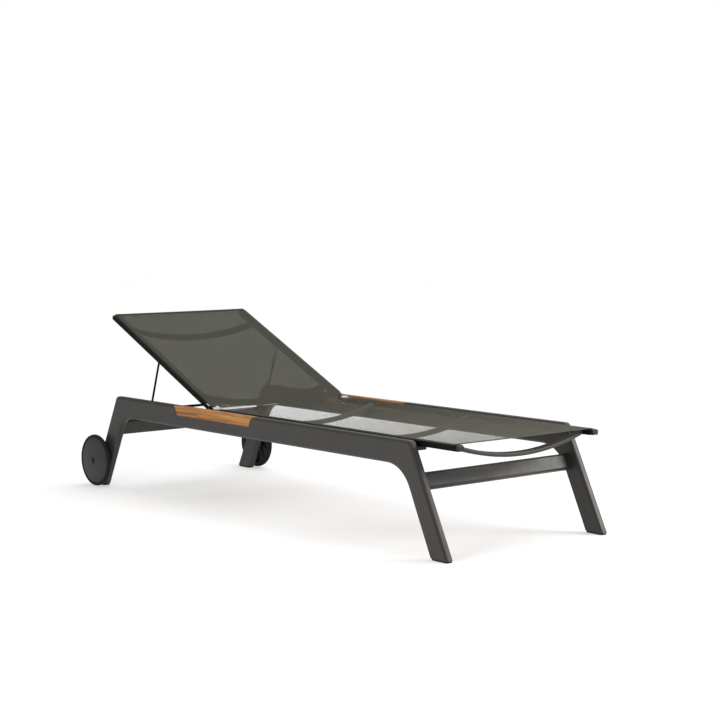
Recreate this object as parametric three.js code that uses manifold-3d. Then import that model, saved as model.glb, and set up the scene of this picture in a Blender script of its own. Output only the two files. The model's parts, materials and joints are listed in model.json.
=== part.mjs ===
// Reclining sun lounger: two anthracite side frames with teak inlays, a sling seat and a sling
// backrest that reclines on a propped stay, and two transport wheels at the head end.
// Millimetres, +X towards the foot end, +Y to the lying person's left, +Z up, floor at z = 0.

import * as THREE from 'three';
import { mergeVertices } from 'three/addons/utils/BufferGeometryUtils.js';
import Module from 'manifold-3d';

const wasm = await Module();
wasm.setup();

// ---------- driving dimensions ----------

const touchGap = 0.3;                 // clearance kept between pieces that meet
const originShift = 9.75;             // brings the middle of the footprint to x = 0

// side frame: one inverted U seen from the side
const frameOuterY = 358;              // outer face of the side frames
const frameThickness = 30;
const frameInnerY = frameOuterY - frameThickness;
const frameEdgeRadius = 10;           // rounding of the frame's long edges
const beamTopZ = 350;
const beamBottomZ = 272.5;
const beamRearX = -816;               // rear top corner
const beamFrontX = 832;               // front top corner
const beamCornerRadius = 16;
const rearLegOuterX = -985;           // leg edges where they meet the floor
const rearLegInnerX = -906;
const frontLegInnerX = 926;
const frontLegOuterX = 1003;
const rearLegInnerSlope = 0.487;      // leg edge run per unit of height
const frontLegInnerSlope = 0.475;
const rearFilletRadius = 75;
const frontFilletRadius = 115;
const legCutZ = 6;                    // legs end here, on their glides

// teak inlay let into the top of each beam
const teakBottomZ = 314;
const teakRearX = -411;               // ends of the inlay's bottom edge
const teakFrontX = 20;
const teakEndRadius = 38;             // the metal's rounded shoulder at each end

// floor glides
const glideHeight = legCutZ - touchGap;
const glideWidth = 26;
const glideLength = 70;

// stretchers between the two side frames
const frontStretcher = { x: 842.6, z: 222.6, depth: 55 };
const rearStretcher = { x: -839.4, z: 229.4, depth: 62 };
const stretcherThickness = 24;
const stretcherLean = 25.6;           // degrees, the lean of the legs

// sling rails, shared by the seat and the backrest
const railOuterY = 309.5;
const railInnerY = 278;
const railHeight = 18;
const pivotX = -262;                  // backrest hinge axis
const pivotZ = 338;
const railTopZ = pivotZ + railHeight / 2;
const railBottomZ = pivotZ - railHeight / 2;
const railStart = 42;                 // from the hinge axis to the end of a rail
const slotY = 301.5;                  // middle of the slot that holds the sling's edge
const slotWidth = 3;
const beadBoreRadius = 3;
const beadBoreZ = railTopZ - 6;
const seatRailFrontX = 984;
const seatCapFrontX = 996;
const backRailLength = 706;           // from the hinge axis
const backCapLength = 718;
const capInnerY = railInnerY + 7;      // the caps are narrower than the rails
const capOuterY = railOuterY - 1;
const railCapGap = touchGap;

// sagging cross bars under the slings
const barDepth = 30;
const barHeight = 14;
const barSag = 44.4;                  // drop of the bar's middle below its ends
const barEndZ = railBottomZ + 0.4;    // underside of the bar where it meets the rail
const barEdgeRadius = 5;
const seatBarXs = [-72, 430, 945];
const backBarDistances = [105, 606];

// slings
const slingThickness = 1.6;
const slingBeadRadius = 2.1;
const seatSlingFrontX = 978;
const backSlingEnd = 717;             // from the hinge axis
const slingHingeEdge = 4;             // the cloth between the hinges ends this far from their axis
const slingHingeWidth = 550;          // its width there
const slingShoulder = 14;             // the cloth has its full width from here on
const beadStart = railStart + 1.5;
const beadEndInset = 12;              // the beads end short of the cloth's far end

// recline of the backrest in the pose shown, and the prop stay that holds it
const restRecline = 25.2;             // degrees above the seat
const stayPivotDistance = 420;        // along the back rail from the hinge axis
const stayPivotOffset = -4;           // below the rail's middle
const stayFootRestX = -712;
const stayFootRestZ = 303;
const flatStayAngle = 7;              // degrees between stay and back rail when flat
const stayArmY = 270.5;
const stayRodRadius = 4;
const stayEyeRadius = 8.5;
const stayEyeWidth = 6;
const crossbarRadius = 5;
const crossbarHalfLength = 305;
const notchAngles = [25.2, 21.8, 18.4, 15];

// hinge hardware
const hingeEyeRadius = 14.5;
const hingePinRadius = 4;
const hingeBoreRadius = 4.3;
const hingeLugReach = 27;
const hingeBlockStart = 25;

// wheels
const wheelX = -925;
const wheelZ = 98.5;
const wheelRadius = 97.5;
const tyreInnerRadius = 88.5;
const discRimY = 389;                 // the disc's outer face at its rim
const discCrown = 9.5;                // how far it domes outwards at the hub
const discWall = 4;
const axleRadius = 5;
const axleBoreRadius = 5.3;
const axleHeadY = discRimY + discCrown + touchGap;
const axleEndY = 333;                 // the axle ends blind inside the leg

// ---------- helpers ----------

const radians = THREE.MathUtils.degToRad;

// Outline with rounded corners. Each corner is [x, y, radius, arc segments].
function roundedOutline(corners) {
  const points = [];
  const count = corners.length;
  for (let i = 0; i < count; i += 1) {
    const [x, y, radius = 0, segments = 4] = corners[i];
    const corner = new THREE.Vector2(x, y);
    if (radius === 0) {
      points.push(corner);
      continue;
    }
    const before = new THREE.Vector2(...corners[(i + count - 1) % count]).sub(corner).normalize();
    const after = new THREE.Vector2(...corners[(i + 1) % count]).sub(corner).normalize();
    const half = Math.acos(THREE.MathUtils.clamp(before.dot(after), -1, 1)) / 2;
    const reach = radius / Math.tan(half);
    const bisector = before.clone().add(after).normalize();
    const centre = corner.clone().addScaledVector(bisector, radius / Math.sin(half));
    const from = corner.clone().addScaledVector(before, reach).sub(centre);
    const to = corner.clone().addScaledVector(after, reach).sub(centre);
    const start = Math.atan2(from.y, from.x);
    let sweep = Math.atan2(to.y, to.x) - start;
    if (sweep > Math.PI) sweep -= 2 * Math.PI;
    if (sweep < -Math.PI) sweep += 2 * Math.PI;
    for (let k = 0; k <= segments; k += 1) {
      const angle = start + (sweep * k) / segments;
      points.push(new THREE.Vector2(centre.x + radius * Math.cos(angle), centre.y + radius * Math.sin(angle)));
    }
  }
  return points;
}

function circleOutline(x, y, radius, segments = 24) {
  const points = [];
  for (let k = 0; k < segments; k += 1) {
    const angle = (2 * Math.PI * k) / segments;
    points.push(new THREE.Vector2(x + radius * Math.cos(angle), y + radius * Math.sin(angle)));
  }
  return points;
}

// Prism of an outline, with its long edges rounded when edge > 0.
function prism(outline, depth, edge = 0, holes = [], edgeSegments = 3) {
  const shape = new THREE.Shape(outline);
  for (const hole of holes) {
    shape.holes.push(new THREE.Path(hole));
  }
  return new THREE.ExtrudeGeometry(shape, {
    depth: depth - 2 * edge,
    steps: 1,
    curveSegments: 8,
    bevelEnabled: edge > 0,
    bevelThickness: edge,
    bevelSize: edge,
    bevelOffset: -edge,
    bevelSegments: edgeSegments,
  }).translate(0, 0, edge);
}

// Outline in (x, z), extruded across the lounger from y0 to y1.
function acrossPrism(outline, y0, y1, edge = 0, holes = [], edgeSegments = 3) {
  const geometry = prism(outline, y1 - y0, edge, holes, edgeSegments);
  geometry.rotateX(Math.PI / 2);
  return geometry.translate(0, y1, 0);
}

// Outline in (y, z), extruded along the lounger from x0 to x1.
function alongPrism(outline, x0, x1, edge = 0, edgeSegments = 3) {
  const geometry = prism(outline, x1 - x0, edge, [], edgeSegments);
  const basis = new THREE.Matrix4().makeBasis(
    new THREE.Vector3(0, 1, 0),
    new THREE.Vector3(0, 0, 1),
    new THREE.Vector3(1, 0, 0),
  );
  geometry.applyMatrix4(basis);
  return geometry.translate(x0, 0, 0);
}

// Outline in (x, y), extruded upwards from z0 to z1.
function uprightPrism(outline, z0, z1, edge = 0, edgeSegments = 2) {
  return prism(outline, z1 - z0, edge, [], edgeSegments).translate(0, 0, z0);
}

// Closed profile of [radius, y] turned about the line y through (x, z).
function turned(profile, x, z, segments = 32) {
  const points = profile.map(([radius, y]) => new THREE.Vector2(radius, y));
  points.push(points[0].clone());
  return new THREE.LatheGeometry(points, segments).translate(x, 0, z);
}

function toSolid(geometry) {
  const bare = geometry.index ? geometry.toNonIndexed() : geometry.clone();
  bare.deleteAttribute('normal');
  bare.deleteAttribute('uv');
  const welded = mergeVertices(bare, 1e-4);
  const solid = new wasm.Manifold(new wasm.Mesh({
    numProp: 3,
    vertProperties: new Float32Array(welded.attributes.position.array),
    triVerts: new Uint32Array(welded.index.array),
  }));
  return solid;
}

function toGeometry(solid) {
  const mesh = solid.getMesh();
  const geometry = new THREE.BufferGeometry();
  geometry.setAttribute('position', new THREE.BufferAttribute(new Float32Array(mesh.vertProperties), 3));
  geometry.setIndex(new THREE.BufferAttribute(new Uint32Array(mesh.triVerts), 1));
  geometry.computeVertexNormals();
  return geometry;
}

function cut(geometry, ...tools) {
  let solid = toSolid(geometry);
  for (const tool of tools) {
    solid = solid.subtract(toSolid(tool));
  }
  return toGeometry(solid);
}

function join(geometry, ...others) {
  let solid = toSolid(geometry);
  for (const other of others) {
    solid = solid.add(toSolid(other));
  }
  return toGeometry(solid);
}

// A span measured outwards from the middle, on the side given by side = 1 or -1.
function sideSpan(side, inner, outer) {
  return side > 0 ? [inner, outer] : [-outer, -inner];
}

// Turns a piece of the flat backrest about the hinge axis into the recline shown.
function reclined(geometry) {
  geometry.translate(-pivotX, 0, -pivotZ);
  geometry.rotateY(radians(restRecline));
  return geometry.translate(pivotX, 0, pivotZ);
}

// ---------- materials ----------

function material(name, color, roughness, metalness) {
  const result = new THREE.MeshStandardMaterial({ color, roughness, metalness });
  result.name = name;
  return result;
}

const powderCoat = material('powder_coat', 0x45433f, 0.55, 0.35);
const darkPlastic = material('dark_plastic', 0x1c1c1c, 0.6, 0);
const teak = material('teak', 0xc58a52, 0.65, 0);
const stainless = material('stainless', 0xc9c9c7, 0.3, 1);
const seatMesh = material('seat_mesh', 0x5e5c54, 0.85, 0);
const backMesh = material('back_mesh', 0x5e5c54, 0.85, 0);
const tyreRubber = material('tyre_rubber', 0x191919, 0.8, 0);
const wheelPlastic = material('wheel_plastic', 0x44433f, 0.5, 0);
const stayCoat = material('stay_coat', 0x2b2b2a, 0.5, 0.4);

const lounger = new THREE.Group();
lounger.name = 'sun_lounger';

function addPiece(name, geometry, pieceMaterial) {
  geometry.translate(originShift, 0, 0);
  const mesh = new THREE.Mesh(geometry, pieceMaterial);
  mesh.name = name;
  lounger.add(mesh);
}

// ---------- side frames ----------

function frameOutline() {
  const below = -20;
  const rearOuterSlope = (beamRearX - rearLegOuterX) / beamTopZ;
  const frontOuterSlope = (beamFrontX - frontLegOuterX) / beamTopZ;
  return roundedOutline([
    [rearLegOuterX + below * rearOuterSlope, below],
    [rearLegInnerX + below * rearLegInnerSlope, below],
    [rearLegInnerX + beamBottomZ * rearLegInnerSlope, beamBottomZ, rearFilletRadius, 12],
    [frontLegInnerX - beamBottomZ * frontLegInnerSlope, beamBottomZ, frontFilletRadius, 14],
    [frontLegInnerX - below * frontLegInnerSlope, below],
    [frontLegOuterX + below * frontOuterSlope, below],
    [beamFrontX, beamTopZ, beamCornerRadius, 6],
    [beamRearX, beamTopZ, beamCornerRadius, 6],
  ]);
}

// Bottom of the inlay grown by grow, with the metal's rounded shoulders at both ends.
function teakOutline(grow) {
  const points = [];
  const bottom = teakBottomZ - grow;
  const radius = teakEndRadius - grow;
  const lastAngle = 78;
  const steps = 6;
  points.push(new THREE.Vector2(teakRearX - grow, bottom));
  points.push(new THREE.Vector2(teakFrontX + grow, bottom));
  for (let k = 1; k <= steps; k += 1) {
    const angle = radians((lastAngle * k) / steps);
    points.push(new THREE.Vector2(
      teakFrontX + teakEndRadius - radius * Math.cos(angle),
      teakBottomZ + radius * Math.sin(angle),
    ));
  }
  const shoulder = teakEndRadius - radius * Math.cos(radians(lastAngle));
  points.push(new THREE.Vector2(teakFrontX + shoulder, beamTopZ + 10));
  points.push(new THREE.Vector2(teakRearX - shoulder, beamTopZ + 10));
  for (let k = steps; k >= 1; k -= 1) {
    const angle = radians((lastAngle * k) / steps);
    points.push(new THREE.Vector2(
      teakRearX - teakEndRadius + radius * Math.cos(angle),
      teakBottomZ + radius * Math.sin(angle),
    ));
  }
  return points;
}

function frameBlank(side) {
  const [y0, y1] = sideSpan(side, frameInnerY, frameOuterY);
  return acrossPrism(frameOutline(), y0, y1, frameEdgeRadius, [], 6);
}

function sideFrame(side) {
  const pocket = acrossPrism(teakOutline(touchGap), ...sideSpan(side, 320, 370));
  const floorCut = acrossPrism(
    roundedOutline([[-1100, -60], [1100, -60], [1100, legCutZ], [-1100, legCutZ]]),
    ...sideSpan(side, 320, 370),
  );
  const axleBore = acrossPrism(
    circleOutline(wheelX, wheelZ, axleBoreRadius),
    ...sideSpan(side, axleEndY - touchGap, 370),
  );
  return cut(frameBlank(side), pocket, floorCut, axleBore);
}

function teakInlay(side) {
  const core = toSolid(acrossPrism(teakOutline(0), ...sideSpan(side, 320, 370)));
  return toGeometry(core.intersect(toSolid(frameBlank(side))));
}

function floorGlide(side, middleX) {
  const [y0, y1] = sideSpan(side, frameOuterY - frameThickness / 2 - glideWidth / 2,
    frameOuterY - frameThickness / 2 + glideWidth / 2);
  const outline = roundedOutline([
    [middleX - glideLength / 2, y0, 7, 4],
    [middleX + glideLength / 2, y0, 7, 4],
    [middleX + glideLength / 2, y1, 7, 4],
    [middleX - glideLength / 2, y1, 7, 4],
  ]);
  return uprightPrism(outline, 0, glideHeight, 1.2);
}

// end is 1 for the front one and -1 for the rear one.
function stretcher(end, { x, z, depth }) {
  const outline = roundedOutline([
    [-stretcherThickness / 2, -depth / 2, 9, 5],
    [stretcherThickness / 2, -depth / 2, 9, 5],
    [stretcherThickness / 2, depth / 2, 9, 5],
    [-stretcherThickness / 2, depth / 2, 9, 5],
  ]);
  const reach = frameInnerY - touchGap;
  const geometry = acrossPrism(outline, -reach, reach);
  geometry.rotateY(-end * radians(stretcherLean));
  return geometry.translate(x, 0, z);
}

// ---------- sling rails ----------

// Rail section in (y, z) with the keyhole slot that holds the sling's beaded edge.
function railOutline(side) {
  const slotInner = slotY - slotWidth / 2;
  const slotOuter = slotY + slotWidth / 2;
  const mouth = Math.asin(slotWidth / 2 / beadBoreRadius);
  const corner = 2;
  const body = roundedOutline([
    [railInnerY, railBottomZ, corner, 3],
    [railOuterY, railBottomZ, corner, 3],
    [railOuterY, railTopZ, corner, 3],
    [slotOuter, railTopZ],
    [slotInner, railTopZ],
    [railInnerY, railTopZ, corner, 3],
  ]);
  const bore = [];
  const steps = 10;
  for (let k = 0; k <= steps; k += 1) {
    const angle = Math.PI / 2 - mouth - ((2 * Math.PI - 2 * mouth) * k) / steps;
    bore.push(new THREE.Vector2(
      slotY + beadBoreRadius * Math.cos(angle),
      beadBoreZ + beadBoreRadius * Math.sin(angle),
    ));
  }
  const slotIndex = body.findIndex((point) => point.x === slotOuter && point.y === railTopZ);
  body.splice(slotIndex + 1, 0, ...bore);
  return body.map((point) => new THREE.Vector2(side * point.x, point.y));
}

function seatRail(side) {
  return alongPrism(railOutline(side), pivotX + railStart, seatRailFrontX);
}

function backRail(side) {
  return reclined(alongPrism(railOutline(side), pivotX - backRailLength, pivotX - railStart));
}

function railCapOutline(nearX, farX) {
  const direction = Math.sign(farX - nearX);
  return roundedOutline([
    [nearX, railBottomZ],
    [farX - direction * 2.5, railBottomZ],
    [farX, railBottomZ + 2.5],
    [farX, railTopZ - 3],
    [farX - direction * 8, railTopZ],
    [nearX, railTopZ],
  ]);
}

function seatRailCap(side) {
  const outline = railCapOutline(seatRailFrontX + railCapGap, seatCapFrontX);
  return acrossPrism(outline, ...sideSpan(side, capInnerY, capOuterY), 0.8, [], 2);
}

function backRailCap(side) {
  const outline = railCapOutline(pivotX - backRailLength - railCapGap, pivotX - backCapLength);
  return reclined(acrossPrism(outline, ...sideSpan(side, capInnerY, capOuterY), 0.8, [], 2));
}

// Bar that sags as a parabola between the rails, so that a body never touches it.
function crossBar(middleX) {
  const reach = railInnerY - touchGap;
  const steps = 24;
  const lower = [];
  const upper = [];
  for (let k = 0; k <= steps; k += 1) {
    const y = -reach + (2 * reach * k) / steps;
    const drop = barSag * (1 - (y / reach) ** 2);
    lower.push(new THREE.Vector2(y, barEndZ - drop));
    upper.push(new THREE.Vector2(y, barEndZ - drop + barHeight));
  }
  const outline = [...lower, ...upper.reverse()];
  return alongPrism(outline, middleX - barDepth / 2, middleX + barDepth / 2, barEdgeRadius, 3);
}

// ---------- slings ----------

// Sheet over the rails whose edges turn down into the slots and end in a bead.
function slingOutline() {
  const bottom = railTopZ + touchGap;
  const top = bottom + slingThickness;
  const lip = slingThickness / 2;
  const steps = 8;
  const half = [];
  half.push(new THREE.Vector2(0, top));
  half.push(new THREE.Vector2(slotY - lip, top));
  half.push(new THREE.Vector2(slotY + lip, top - 0.6));
  const open = Math.asin(lip / slingBeadRadius);
  for (let k = 0; k <= steps; k += 1) {
    const angle = Math.PI / 2 - open - ((2 * Math.PI - 2 * open) * k) / steps;
    half.push(new THREE.Vector2(
      slotY + slingBeadRadius * Math.cos(angle),
      beadBoreZ + slingBeadRadius * Math.sin(angle),
    ));
  }
  half.push(new THREE.Vector2(slotY - lip, bottom));
  half.push(new THREE.Vector2(0, bottom));
  const mirrored = half.slice(1, -1).map((point) => new THREE.Vector2(-point.x, point.y)).reverse();
  return [...half, ...mirrored];
}

// The flat part of the sheet, over the rails and their caps, from x0 to x1.
function clothField(halfWidth, x0, x1) {
  const bottom = railTopZ + touchGap;
  const top = bottom + slingThickness;
  const outline = roundedOutline([
    [-halfWidth, bottom],
    [halfWidth, bottom],
    [halfWidth, top - 0.6],
    [halfWidth - slingThickness, top],
    [slingThickness - halfWidth, top],
    [-halfWidth, top - 0.6],
  ]);
  return alongPrism(outline, x0, x1);
}

// Seat or backrest sling lying flat, towards +X from the hinge axis to the far end.
function sling(end) {
  const fullWidth = slotY + slingThickness / 2;
  return join(
    alongPrism(slingOutline(), pivotX + beadStart, pivotX + end - beadEndInset),
    clothField(fullWidth, pivotX + slingShoulder, pivotX + end),
    clothField(slingHingeWidth / 2, pivotX + slingHingeEdge, pivotX + slingShoulder + 10),
  );
}

function seatSling() {
  return sling(seatSlingFrontX - pivotX);
}

function backSling() {
  const geometry = sling(backSlingEnd);
  geometry.translate(-pivotX, 0, 0);
  geometry.rotateZ(Math.PI);
  return reclined(geometry.translate(pivotX, 0, 0));
}

// ---------- rail supports ----------

// Ledge screwed to the frame's inner face, reaching in under the rail.
function railLedge(side, middleX, length) {
  const [y0, y1] = sideSpan(side, 284, frameInnerY - touchGap);
  const outline = roundedOutline([
    [y0, railBottomZ - 12, 2, 2],
    [y1, railBottomZ - 12, 2, 2],
    [y1, railBottomZ - touchGap, 1.5, 2],
    [y0, railBottomZ - touchGap, 1.5, 2],
  ]);
  return alongPrism(outline, middleX - length / 2, middleX + length / 2);
}

// Deeper bracket near the hinge, bolted to the metal of the beam below the teak.
function hingeBracket(side) {
  const faceY = frameInnerY - touchGap;
  const outline = [
    [faceY, 284],
    [faceY, teakBottomZ - 3],
    [faceY - 5, teakBottomZ + 3],
    [faceY - 5, railBottomZ - touchGap],
    [284, railBottomZ - touchGap],
    [284, railBottomZ - 11],
    [faceY - 15, railBottomZ - 11],
    [faceY - 15, 284],
  ].map(([y, z]) => new THREE.Vector2(side * y, z));
  return alongPrism(outline, pivotX + 44, pivotX + 99);
}

// ---------- backrest hinge ----------

// Lug of the hinge: a round eye on a web, in (x, z), reaching towards +X.
function lugOutline(reach) {
  const outline = [];
  const half = railHeight / 2 - 0.5;
  const start = Math.asin(half / hingeEyeRadius);
  const steps = 16;
  outline.push(new THREE.Vector2(pivotX + reach, pivotZ + half));
  for (let k = 0; k <= steps; k += 1) {
    const angle = start + ((2 * Math.PI - 2 * start) * k) / steps;
    outline.push(new THREE.Vector2(
      pivotX + hingeEyeRadius * Math.cos(angle),
      pivotZ + hingeEyeRadius * Math.sin(angle),
    ));
  }
  outline.push(new THREE.Vector2(pivotX + reach, pivotZ - half));
  return outline;
}

function hingeFlange(side, near, far) {
  const outline = roundedOutline([
    [pivotX + near, railBottomZ + 0.5],
    [pivotX + far, railBottomZ + 0.5],
    [pivotX + far, railTopZ - 0.5],
    [pivotX + near, railTopZ - 0.5],
  ]);
  return acrossPrism(outline, ...sideSpan(side, railInnerY + 0.5, railOuterY - 0.5));
}

// Fork fixed to the end of the seat rail.
function hingeFork(side) {
  const bore = [circleOutline(pivotX, pivotZ, hingeBoreRadius)];
  const lug = lugOutline(hingeLugReach);
  const inner = acrossPrism(lug, ...sideSpan(side, railInnerY + 0.5, railInnerY + 6.5), 0, bore);
  const outer = acrossPrism(lug, ...sideSpan(side, railOuterY - 6.5, railOuterY - 0.5), 0, bore);
  return join(hingeFlange(side, hingeBlockStart, railStart - touchGap), inner, outer);
}

// Tongue fixed to the end of the back rail, built flat and then reclined.
function hingeTongue(side) {
  const bore = [circleOutline(pivotX, pivotZ, hingeBoreRadius)];
  const span = sideSpan(side, railInnerY + 6.8, railOuterY - 6.8);
  const geometry = join(
    hingeFlange(side, hingeBlockStart, railStart - touchGap),
    acrossPrism(lugOutline(hingeLugReach), ...span, 0, bore),
  );
  geometry.translate(-pivotX, 0, -pivotZ);
  geometry.rotateY(Math.PI);
  return geometry.translate(pivotX, 0, pivotZ);
}

// Rivet with a domed head at each end.
function hingePin(side) {
  const inner = railInnerY + 0.5 - touchGap;
  const outer = railOuterY - 0.5 + touchGap;
  const profile = [
    [0, inner - 3.5],
    [4, inner - 3.2],
    [6.5, inner - 1.6],
    [7.2, inner],
    [hingePinRadius, inner],
    [hingePinRadius, outer],
    [7.2, outer],
    [6.5, outer + 1.6],
    [4, outer + 3.2],
    [0, outer + 3.5],
  ];
  return turnedOnSide(profile, side, pivotX, pivotZ, 16);
}

// Turned piece whose profile is written for the +Y side and mirrored for the other.
function turnedOnSide(profile, side, x, z, segments) {
  if (side > 0) {
    return turned(profile, x, z, segments);
  }
  const mirrored = profile.map(([radius, y]) => [radius, -y]).reverse();
  return turned(mirrored, x, z, segments);
}

// ---------- prop stay ----------

// Where the stay pivots on the back rail when the back is at the given recline.
function stayPivot(recline) {
  const angle = radians(recline);
  return new THREE.Vector2(
    pivotX - stayPivotDistance * Math.cos(angle) + stayPivotOffset * Math.sin(angle),
    pivotZ + stayPivotDistance * Math.sin(angle) + stayPivotOffset * Math.cos(angle),
  );
}

const stayTop = stayPivot(restRecline);
const stayFoot = new THREE.Vector2(stayFootRestX, stayFootRestZ);
const stayLength = stayTop.distanceTo(stayFoot);
const stayDip = Math.atan2(stayTop.y - stayFoot.y, stayTop.x - stayFoot.x);
const stayTurnPerDegree = (THREE.MathUtils.radToDeg(stayDip) + restRecline - flatStayAngle) / restRecline;

// Where the crossbar lies when the stay folds in step with the backrest.
function footAt(recline) {
  const top = stayPivot(recline);
  const between = THREE.MathUtils.radToDeg(stayDip) + restRecline - stayTurnPerDegree * (restRecline - recline);
  const dip = radians(between - recline);
  return new THREE.Vector2(top.x - stayLength * Math.cos(dip), top.y - stayLength * Math.sin(dip));
}

function stayArm(side) {
  const [y0, y1] = sideSpan(side, stayArmY - stayEyeWidth / 2, stayArmY + stayEyeWidth / 2);
  const eye = acrossPrism(
    circleOutline(stayTop.x, stayTop.y, stayEyeRadius, 20), y0, y1, 0,
    [circleOutline(stayTop.x, stayTop.y, 3.3, 16)],
  );
  const ring = acrossPrism(
    circleOutline(stayFoot.x, stayFoot.y, stayEyeRadius, 20), y0, y1, 0,
    [circleOutline(stayFoot.x, stayFoot.y, crossbarRadius + touchGap, 20)],
  );
  const length = stayLength - 2 * 6.5;
  const rod = new THREE.CylinderGeometry(stayRodRadius, stayRodRadius, length, 14);
  const middle = stayTop.clone().add(stayFoot).multiplyScalar(0.5);
  rod.rotateX(Math.PI / 2);
  rod.rotateY(Math.atan2(stayTop.x - stayFoot.x, stayTop.y - stayFoot.y));
  rod.translate(middle.x, side * stayArmY, middle.y);
  return join(eye, ring, rod);
}

function stayCrossbar() {
  const profile = [
    [0, -crossbarHalfLength],
    [crossbarRadius - 1, -crossbarHalfLength],
    [crossbarRadius, -crossbarHalfLength + 1],
    [crossbarRadius, crossbarHalfLength - 1],
    [crossbarRadius - 1, crossbarHalfLength],
    [0, crossbarHalfLength],
  ];
  return turned(profile, stayFoot.x, stayFoot.y, 20);
}

function stayBolt(side) {
  const head = stayArmY - stayEyeWidth / 2 - touchGap;
  const profile = [
    [0, head - 3.6],
    [4.6, head - 3.6],
    [5.8, head - 2.4],
    [5.8, head],
    [3, head],
    [3, railInnerY - touchGap],
    [0, railInnerY - touchGap],
  ];
  return turnedOnSide(profile, side, stayTop.x, stayTop.y, 16);
}

// Notched plate on the frame's inner face, one notch for each recline position.
function ratchetRack(side) {
  const feet = notchAngles.map(footAt);
  const first = feet[0];
  const last = feet[feet.length - 1];
  const outline = roundedOutline([
    [first.x + 22, first.y - 17, 4, 3],
    [first.x + 22, first.y + 9, 3, 3],
    [first.x - 8, first.y + 9],
    [last.x, last.y + 10],
    [last.x - 16, last.y + 12, 3, 3],
    [last.x - 16, last.y - 17, 4, 3],
    [feet[1].x, feet[1].y - 20],
  ]);
  const span = sideSpan(side, crossbarHalfLength + 0.8, frameInnerY - touchGap);
  const slots = feet.map((foot) => {
    const radius = crossbarRadius + 0.6;
    const slot = [];
    for (let k = 0; k <= 8; k += 1) {
      const angle = Math.PI + (Math.PI * k) / 8;
      slot.push(new THREE.Vector2(foot.x + radius * Math.cos(angle), foot.y + radius * Math.sin(angle)));
    }
    slot.push(new THREE.Vector2(foot.x + radius + 5, foot.y + 30));
    slot.push(new THREE.Vector2(foot.x - radius, foot.y + 30));
    return acrossPrism(slot, ...sideSpan(side, 290, 340));
  });
  return cut(acrossPrism(outline, ...span), ...slots);
}

// ---------- wheels ----------

function wheelTyre(side) {
  const profile = [
    [tyreInnerRadius, 374],
    [93, 373.5],
    [96.3, 376],
    [wheelRadius, 379.5],
    [wheelRadius, 385],
    [96.3, 388],
    [93, 390],
    [tyreInnerRadius, 389.6],
  ];
  return turnedOnSide(profile, side, wheelX, wheelZ, 56);
}

// Outer face of the domed disc at a distance from the axle.
function discFace(radius) {
  return discRimY + discCrown * (1 - (radius / tyreInnerRadius) ** 2);
}

function wheelDisc(side) {
  const rim = tyreInnerRadius - touchGap;
  const inside = [20, 34, 48, 62, 74].map((radius) => [radius, discFace(radius) - discWall]);
  const outside = [86, 74, 62, 48, 34, 20].map((radius) => [radius, discFace(radius)]);
  const profile = [
    [axleBoreRadius, 361],
    [14, 361],
    [15, 362],
    [15, discFace(20) - discWall],
    ...inside,
    [81, 376],
    [83, 374.8],
    [rim, 374.8],
    [rim, discRimY - 0.5],
    ...outside,
    [axleBoreRadius, discFace(20)],
  ];
  return turnedOnSide(profile, side, wheelX, wheelZ, 48);
}

// Axle bolt screwed into the leg, with its hub head outside.
function axleBolt(side) {
  const profile = [
    [0, axleEndY],
    [axleRadius - 1, axleEndY],
    [axleRadius, axleEndY + 1],
    [axleRadius, axleHeadY],
    [9.2, axleHeadY],
    [9.2, axleHeadY + 1.2],
    [7, axleHeadY + 2.4],
    [0, axleHeadY + 2.8],
  ];
  return turnedOnSide(profile, side, wheelX, wheelZ, 18);
}

// ---------- assembly ----------

addPiece('stretcher_front', stretcher(1, frontStretcher), powderCoat);
addPiece('stretcher_rear', stretcher(-1, rearStretcher), powderCoat);
addPiece('seat_sling', seatSling(), seatMesh);
addPiece('back_sling', backSling(), backMesh);
addPiece('stay_crossbar', stayCrossbar(), stayCoat);

seatBarXs.forEach((x, index) => {
  addPiece(`seat_bar_${index + 1}`, crossBar(x), powderCoat);
});
backBarDistances.forEach((distance, index) => {
  addPiece(`back_bar_${index + 1}`, reclined(crossBar(pivotX - distance)), powderCoat);
});

for (const [suffix, side] of [['r', -1], ['l', 1]]) {
  addPiece(`side_frame_${suffix}`, sideFrame(side), powderCoat);
  addPiece(`teak_inlay_${suffix}`, teakInlay(side), teak);
  addPiece(`glide_front_${suffix}`, floorGlide(side, 963.1), darkPlastic);
  addPiece(`glide_rear_${suffix}`, floorGlide(side, -944), darkPlastic);
  addPiece(`seat_rail_${suffix}`, seatRail(side), powderCoat);
  addPiece(`seat_rail_cap_${suffix}`, seatRailCap(side), darkPlastic);
  addPiece(`rail_ledge_front_${suffix}`, railLedge(side, 807, 46), darkPlastic);
  addPiece(`rail_ledge_middle_${suffix}`, railLedge(side, 330, 46), darkPlastic);
  addPiece(`hinge_bracket_${suffix}`, hingeBracket(side), powderCoat);
  addPiece(`back_ledge_${suffix}`, railLedge(side, -568, 46), darkPlastic);
  addPiece(`hinge_fork_${suffix}`, hingeFork(side), stainless);
  addPiece(`hinge_pin_${suffix}`, hingePin(side), stainless);
  addPiece(`ratchet_rack_${suffix}`, ratchetRack(side), stainless);
  addPiece(`axle_bolt_${suffix}`, axleBolt(side), darkPlastic);
  addPiece(`wheel_tyre_${suffix}`, wheelTyre(side), tyreRubber);
  addPiece(`wheel_disc_${suffix}`, wheelDisc(side), wheelPlastic);
  addPiece(`back_rail_${suffix}`, backRail(side), powderCoat);
  addPiece(`back_rail_cap_${suffix}`, backRailCap(side), darkPlastic);
  addPiece(`hinge_tongue_${suffix}`, reclined(hingeTongue(side)), stainless);
  addPiece(`stay_bolt_${suffix}`, stayBolt(side), stainless);
  addPiece(`stay_arm_${suffix}`, stayArm(side), stayCoat);
}

export default lounger;
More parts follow.
